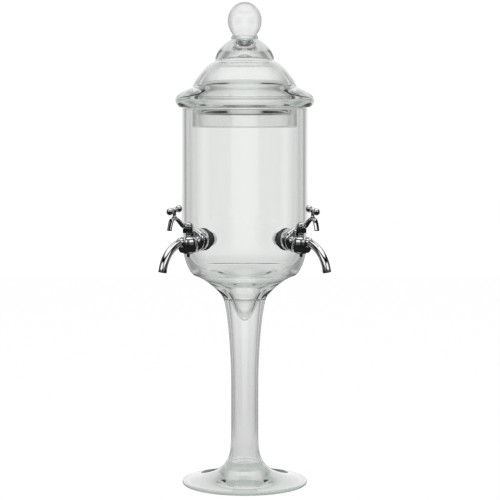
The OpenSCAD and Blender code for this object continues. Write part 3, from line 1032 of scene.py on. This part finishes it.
    def spout(self) -> Solid:
        """The bent tube, swept round its bend, with a plain end."""
        tube = bmesh.new()
        ball_cut = math.sqrt(self.ball_r ** 2 - self.spout_r ** 2)
        for radius in (self.spout_r, self.spout_bore_r):
            bmesh.ops.create_circle(tube, cap_ends=False, segments=64, radius=radius)
        bmesh.ops.transform(tube, matrix=shift(ball_cut - 1) @ spin_about("Y", 90), verts=tube.verts)
        edges = list(tube.edges)
        root = self.drawn(tube, edges, shift(1.0))
        steps = 30
        bend = (shift(ball_cut, 0, -self.bend_r) @ spin_about("Y", self.spout_turn / steps)
                @ shift(-ball_cut, 0, self.bend_r))
        for _ in range(steps):
            root = self.drawn(tube, root, bend)
        turn = math.radians(self.spout_turn)
        ahead = Vector((math.cos(turn), 0, -math.sin(turn)))
        tip = self.drawn(tube, root, Matrix.Translation(ahead * (self.spout_tip - 0.4)))
        bmesh.ops.bridge_loops(tube, edges=edges)
        bmesh.ops.bridge_loops(tube, edges=tip)
        bmesh.ops.recalc_face_normals(tube, faces=tube.faces)
        softened(tube, 0.3)
        return moved(tube, self.outlet)

    @staticmethod
    def drawn(tube: Solid, edges: list[bmesh.types.BMEdge],
              move: Matrix) -> list[bmesh.types.BMEdge]:
        """Extrudes open loops and moves the new ones.

        Args:
            tube: The tube that the loops belong to.
            edges: The loops' edges.
            move: How the new loops are moved.

        Returns:
            The new loops' edges.
        """
        grown = bmesh.ops.extrude_edge_only(tube, edges=edges)["geom"]
        verts = [g for g in grown if isinstance(g, bmesh.types.BMVert)]
        bmesh.ops.transform(tube, matrix=move, verts=verts)
        return [g for g in grown if isinstance(g, bmesh.types.BMEdge)]

    def ring(self, outer: float, start: float, thickness: float, edge: float) -> Solid:
        """A ring that fits on the shank, with rounded outer edges.

        Args:
            outer: Its outer radius.
            start: Where it starts along the tap.
            thickness: Its thickness.
            edge: The radius of its edges.

        Returns:
            The closed solid.
        """
        inner = self.shank_r + self.ring_play
        end = start + thickness
        outline = Outline.start(inner, start)
        outline.arc((outer - edge, start + edge), edge, -90, 0, 6)
        outline.arc((outer - edge, end - edge), edge, 0, 90, 6)
        outline.line((inner, end)).closed()
        return moved(turned(outline), ALONG)

    def collar(self) -> Solid:
        """The chromed collar between the outer seal and the barrel."""
        return self.ring(self.collar_r, self.collar_x + 0.02, self.collar_t - 0.04, 1.1)

    def outer_seal(self) -> Solid:
        """The thick rubber seal, whose back follows the outside of the bowl."""
        ring = self.ring(self.gasket_r, self.vessel.bowl_r - 4, self.gasket_t + 4, 0.7)
        glass = prism(self.vessel.segments, self.vessel.bowl_r + 0.03, 60)
        return combined(Op.CUT, [ring, moved(glass, shift(z=-30))])

    def inner_seal(self) -> Solid:
        """The rubber seal inside the bowl, whose face follows the glass."""
        ring = self.ring(self.inner_gasket_r, self.gasket_ix, self.inner_gasket_t + 4, 0.5)
        filling = self.vessel.filling(0.03)
        return combined(Op.KEEP, [ring, moved(filling, shift(z=-self.tap_z))])

    def flat_washer(self) -> Solid:
        """The metal washer under the lock nut."""
        return self.ring(self.washer_r, self.gasket_ix - self.washer_t + 0.01, self.washer_t - 0.02, 0.25)

    def hex_nut(self) -> Solid:
        """The lock nut, with chamfered corners."""
        nut = hexagon(self.nut_af, self.nut_t, self.shank_r + 0.05, 0.2, 0.75)
        return moved(nut, shift(self.nut_ix) @ ALONG)

    def valve_plug(self) -> Solid:
        """The plug's neck and its hexagon, chamfered at the top and the bottom."""
        neck = Outline.start(0, self.chamber_top - 1.5).line((self.neck_r + 1.3, self.chamber_top - 1.5))
        neck.line((self.neck_r + 1.3, self.chamber_top + 0.25))
        neck.curve((-1.1, 0.15), (0, -0.8), (self.neck_r, self.chamber_top + 1.6), 6)
        head_z = self.chamber_top + self.neck_h
        neck.line((self.neck_r, head_z + 1), (0, head_z + 1))
        head = hexagon(self.head_af, self.head_h, 0, 0.3, 0.6)
        return combined(Op.JOIN, [moved(head, shift(z=head_z)), turned(neck)])

    def lever_arm(self) -> Solid:
        """The arched strip and its hub."""
        mid = self.hub_z + self.lever_t / 2
        crest = Vector((self.lever_reach, self.crest_z))
        end = crest + Vector((self.lever_overhang, -self.lever_fall))
        path = Outline.start(self.hub_r - 2, mid).line((self.hub_r, mid))
        path.curve((4, 0), (-7, 0), tuple(crest), 18).curve((5.2, 0), (-2.2, 6.84), tuple(end), 18)
        points = path.points
        half = self.strip_t / 2
        upper, lower = [], []
        for index, point in enumerate(points):
            heading = points[min(index + 1, len(points) - 1)] - points[max(index - 1, 0)]
            across = Vector((-heading.y, heading.x)).normalized() * half
            upper.append(point + across)
            lower.append(point - across)
        strip = bmesh.new()
        corners = [strip.verts.new((p.x, -self.lever_w / 2, p.y)) for p in upper + lower[::-1]]
        face = strip.faces.new(corners)
        grown = bmesh.ops.extrude_face_region(strip, geom=[face])["geom"]
        bmesh.ops.translate(strip, vec=(0, self.lever_w, 0),
                            verts=[g for g in grown if isinstance(g, bmesh.types.BMVert)])
        bmesh.ops.recalc_face_normals(strip, faces=strip.faces)
        softened(strip, 0.55)
        hub = Outline.start(0, self.hub_z + 0.01).arc((self.hub_r - 0.5, self.hub_z + 0.51), 0.5, -90, 0, 5)
        hub.arc((self.hub_r - 0.5, self.hub_z + self.lever_t - 0.51), 0.5, 0, 90, 5)
        hub.line((0, self.hub_z + self.lever_t - 0.01))
        return combined(Op.JOIN, [strip, turned(hub)])

    def cross_handle(self) -> Solid:
        """The ball-ended crossbar on its post, leaning down towards its outer end."""
        ball, bar_r, boss_r, half = self.crossbar_ball_r, 1.8, 2.7, self.crossbar_span / 2
        meet = math.degrees(math.asin(bar_r / ball))
        boss = math.degrees(math.asin(bar_r / boss_r))
        bar = Outline().arc((0, -half), ball, -90, 90 - meet, 28)
        bar.arc((0, 0), boss_r, boss - 90, 90 - boss, 20)
        bar.arc((0, half), ball, meet - 90, 90, 28)
        bar.points[0].x = bar.points[-1].x = 0
        top = self.crest_z + self.crossbar_rise
        foot = self.crest_z + self.strip_t / 2
        post = Outline.start(0, foot - 0.3).line((2.6, foot - 0.3), (2.6, foot + 0.5))
        post.curve((-0.7, 0.3), (0, -1), (1.7, foot + 2.4), 8).line((1.7, top), (0, top))
        lean = spin_about("Y", self.crossbar_tilt)
        return combined(Op.JOIN, [moved(turned(bar), shift(self.lever_reach, 0, top) @ lean @ ALONG),
                                  moved(turned(post), shift(self.lever_reach))])

    def dome_nut(self) -> Solid:
        """The domed nut that holds the lever."""
        radius, height, low = 4.9, 3.9, self.hub_z + self.lever_t
        dome = Outline.start(0, low + 0.01).line((radius - 0.3, low + 0.01), (radius, low + 0.3))
        dome.curve((0, 1.1), (2.3, -0.8), (radius - 2.4, low + height - 0.5), 14)
        dome.curve((-0.9, 0.4), (1, 0), (0, low + height), 8)
        return turned(dome)

    def thin_washer(self) -> Solid:
        """The washer under the valve chamber."""
        low, high = -self.chamber_depth - 0.79, -self.chamber_depth - 0.01
        washer = Outline.start(1.3, low).line((4.8, low), (5.0, low + 0.2), (5.0, high - 0.2))
        return turned(washer.line((4.8, high), (1.3, high)).closed())

    def slotted_screw(self) -> Solid:
        """The slotted screw that draws the plug into its seat."""
        high = -self.chamber_depth - 0.81
        low = high - 3.6
        screw = Outline.start(0, low).curve((1, 0), (-0.4, -0.6), (1.8, low + 0.7), 6)
        screw.line((1.8, high - 0.2), (1.6, high), (1.2, high), (1.2, high + 4), (0, high + 4))
        return combined(Op.CUT, [turned(screw), moved(block((6, 0.6, 1.6)), shift(z=low))])


@dataclass
class Studio:
    """The pale floor, the light tent round it, the lamps and the camera."""

    floor_size: float = 9.0
    axis_px: float = 244.72
    frame_px: float = 500.0
    focal_px: float = 1704.5
    distance: float = 1700.0
    eye_z: float = 359.6
    tilt: float = 4.165
    sensor: float = 36.0
    half_turn: Point = (0, 180)
    quarter_turns: Point = (-90, 90)
    paper: float = 0.012
    paper_glow: float = 0.985
    # Painted shade: the under and near ramps make the floor, as seen through glass, glow darker close to the
    # fountain's foot and stem.
    under_stops: Stops = ((0, 0.95), (0.25, 0.85), (0.45, 0.0))
    near_stops: Stops = ((0, 0.68), (0.08, 0.70), (0.2, 0.76), (0.7, 0.84), (1.6, 0.95), (3, 1.0))
    wall_stops: Stops = (
        (0, 0.95), (5, 0.94), (10, 0.84), (15, 0.76), (25, 0.60), (31, 0.40), (37, 0.38), (43, 0.70),
        (52, 0.80), (58, 0.10), (78, 0.05), (84, 0.55), (100, 0.55), (106, 0.05), (150, 0.05), (157, 0.7),
        (180, 0.82))
    haze: float = 0.74
    haze_stops: Stops = ((-90, 1.0), (-30, 1.0), (-14, 0.0), (12, 0.0), (26, 1.0), (90, 1.0))
    ceiling_stops: Stops = ((-90, 1.0), (36, 1.0), (48, 0.08), (90, 0.08))
    mirror_stops: Stops = (
        (0, 1.25), (30, 1.15), (48, 0.4), (56, 0.004), (72, 0.004), (78, 0.2), (92, 0.2), (98, 0.004),
        (180, 0.004))
    gleam_stops: Stops = ((-90, 0.0), (-7, 0.0), (-2, 0.9), (30, 1.0), (40, 0.01), (90, 0.01))
    card_stops: Stops = ((0, 0.0), (112, 0.0), (120, 1.0), (160, 1.0), (168, 0.2), (180, 0.2))
    card_rise: Stops = (
        (-90, 0.0), (-4, 0.0), (0, 0.12), (14, 0.16), (18, 1.25), (32, 1.25), (38, 0.0), (90, 0.0))
    top_stops: Stops = ((-90, 0.0), (48, 0.0), (56, 1.25), (90, 1.25))
    # Painted shade: to metal and gloss the floor shows black within 1.6 m of the fountain, so the chrome's
    # undersides reflect dark.
    far_stops: Stops = ((0, 0.004), (1.6, 0.004), (2.6, 1.0), (3, 1.0))

    def camera(self) -> None:
        """Stands the camera where the photograph was taken from."""
        lens = bpy.data.cameras.new("camera")
        lens.sensor_width = self.sensor
        lens.lens = self.focal_px / self.frame_px * self.sensor
        lens.shift_x = (self.frame_px / 2 - self.axis_px) / self.frame_px
        lens.clip_end = 50.0
        eye = bpy.data.objects.new("camera", lens)
        eye.location = (0, -self.distance * MM, self.eye_z * MM)
        eye.rotation_euler = (math.radians(90 - self.tilt), 0, 0)
        bpy.context.scene.collection.objects.link(eye)
        bpy.context.scene.camera = eye

    def floor(self) -> None:
        """Lays the floor, which is white to the camera, takes the tent's shades and keeps the shadow."""
        sheet = bmesh.new()
        bmesh.ops.create_grid(sheet, x_segments=1, y_segments=1, size=self.floor_size / 2)
        mesh = bpy.data.meshes.new("floor")
        sheet.to_mesh(mesh)
        sheet.free()
        floor = bpy.data.objects.new("floor", mesh)
        bpy.context.scene.collection.objects.link(floor)
        material, graph = new_material("floor_paper")
        spot = graph.add("TexCoord").outputs["Object"]
        x, y, _ = graph.put(graph.add("SeparateXYZ"), {"Vector": spot}).outputs
        reach = graph.put(graph.add("VectorMath", operation="LENGTH"), {0: spot}).outputs["Value"]
        bearing = self.bearing(graph, x, y)
        wall = graph.maths("MAXIMUM", graph.ramp(bearing, self.half_turn, self.wall_stops),
                           graph.ramp(reach, (0, 0.6), self.under_stops))
        # Painted shade: through glass the floor is darkened near the fountain, by about a third at its foot.
        clear = graph.maths("MULTIPLY", graph.ramp(reach, (0, 3), self.near_stops), wall)
        # Painted shade in reflections: the floor is black to metal and gloss near the fountain, and takes
        # the tent's mirror shade only beyond about 2 m.
        shiny = graph.maths("MULTIPLY", graph.ramp(bearing, self.half_turn, self.mirror_stops),
                            graph.ramp(reach, (0, 3), self.far_stops))
        glow = graph.maths("MULTIPLY", self.seen(graph, clear, shiny), self.paper_glow)
        paper = graph.put(graph.add("BsdfDiffuse"), {"Color": (*[self.paper] * 3, 1.0)})
        graph.show(graph.put(graph.add("AddShader"), {
            0: paper.outputs[0], 1: graph.put(graph.add("Emission"), {"Strength": glow}).outputs[0]}))
        mesh.materials.append(material)

    @staticmethod
    def bearing(graph: Graph, x: Socket, y: Socket) -> Socket:
        """How far a place or a heading lies from straight behind the fountain, in degrees, either way."""
        return graph.maths("DEGREES", graph.maths("ARCTAN2", graph.maths("ABSOLUTE", x), y))

    @staticmethod
    def seen(graph: Graph, clear: Socket, shiny: Socket) -> Socket:
        """The shade that a ray takes from the floor or the tent, which is white for the camera.

        Args:
            graph: The node graph to add to.
            clear: The shade for a ray that has come through glass.
            shiny: The shade for a ray that metal or gloss throws back.

        Returns:
            The shade's socket.
        """
        path = graph.add("LightPath").outputs
        through = graph.maths("MINIMUM", path["Transmission Depth"], 1.0)
        return graph.maths("MAXIMUM", path["Is Camera Ray"], graph.blend(through, shiny, clear))

    def surroundings(self) -> None:
        """Builds the light tent: a white sweep behind, dark cards beside it and a dim ceiling."""
        world = bpy.data.worlds.new("tent")
        world.use_nodes = True
        bpy.context.scene.world = world
        graph = Graph(world.node_tree)
        heading = graph.add("TexCoord").outputs["Generated"]
        x, y, z = graph.put(graph.add("SeparateXYZ"), {"Vector": heading}).outputs
        bearing, height = self.bearing(graph, x, y), graph.maths("DEGREES", graph.maths("ARCSINE", z))
        wall, front, card = (graph.ramp(bearing, self.half_turn, stops)
                             for stops in (self.wall_stops, self.mirror_stops, self.card_stops))
        haze, ceiling, gleam, rise, top = (
            graph.ramp(height, self.quarter_turns, stops) for stops in (
                self.haze_stops, self.ceiling_stops, self.gleam_stops, self.card_rise, self.top_stops))
        clear = graph.maths("MULTIPLY", ceiling, graph.blend(haze, wall, self.haze))
        shiny = graph.maths("ADD", graph.maths("ADD", graph.maths("MULTIPLY", front, gleam),
                                               graph.maths("MULTIPLY", card, rise)), top)
        graph.show(graph.put(graph.add("Background"), {"Color": self.seen(graph, clear, shiny)}))

    def lamp(self, name: str, power: float, size: float, place: Triple) -> None:
        """Hangs a soft lamp that shines on the bowl, and that neither metal nor glass shows.

        Args:
            name: The lamp's name.
            power: Its power in watts.
            size: The side of its square panel, in metres.
            place: Where it hangs, in metres.
        """
        light = bpy.data.lights.new(name, "AREA")
        light.energy = power
        light.size = size
        lamp = bpy.data.objects.new(name, light)
        lamp.location = place
        lamp.visible_glossy = lamp.visible_transmission = False
        lamp.rotation_euler = (Vector((0, 0, 0.25)) - Vector(place)).to_track_quat("-Z", "Y").to_euler()
        bpy.context.scene.collection.objects.link(lamp)

    def build(self) -> None:
        """Sets up the whole studio."""
        self.camera()
        self.floor()
        self.surroundings()
        self.lamp("top_lamp", 18.0, 1.2, (0.0, -0.3, 1.7))
        self.lamp("left_lamp", 9.0, 0.8, (-1.3, -0.9, 0.9))
        self.lamp("right_lamp", 7.0, 0.8, (1.3, -0.8, 1.0))
        bpy.context.scene.view_settings.view_transform = "Standard"


def main() -> None:
    """Builds the glass, both taps and the studio."""
    logging.basicConfig(level=logging.INFO, format="%(name)s: %(message)s")
    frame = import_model()
    workshop = Workshop()
    vessel = Vessel.from_frame()
    taps = [Tap.from_frame(Side.LEFT, workshop, vessel, frame["joints"], 0.0),
            Tap.from_frame(Side.RIGHT, workshop, vessel, frame["joints"], -8.0)]
    workshop.piece("glass_vessel", vessel.solid([tap.place for tap in taps]), workshop.glass, "vessel",
                   ["foot", "stem", "bowl", "bowl_side"], 60.0)
    workshop.piece("glass_lid", Lid.from_frame().solid(), workshop.glass, "lid", ["lid", "lid_knob"], 60.0)
    for tap in taps:
        tap.build()
    Studio().build()


if __name__ == "__main__":
    main()
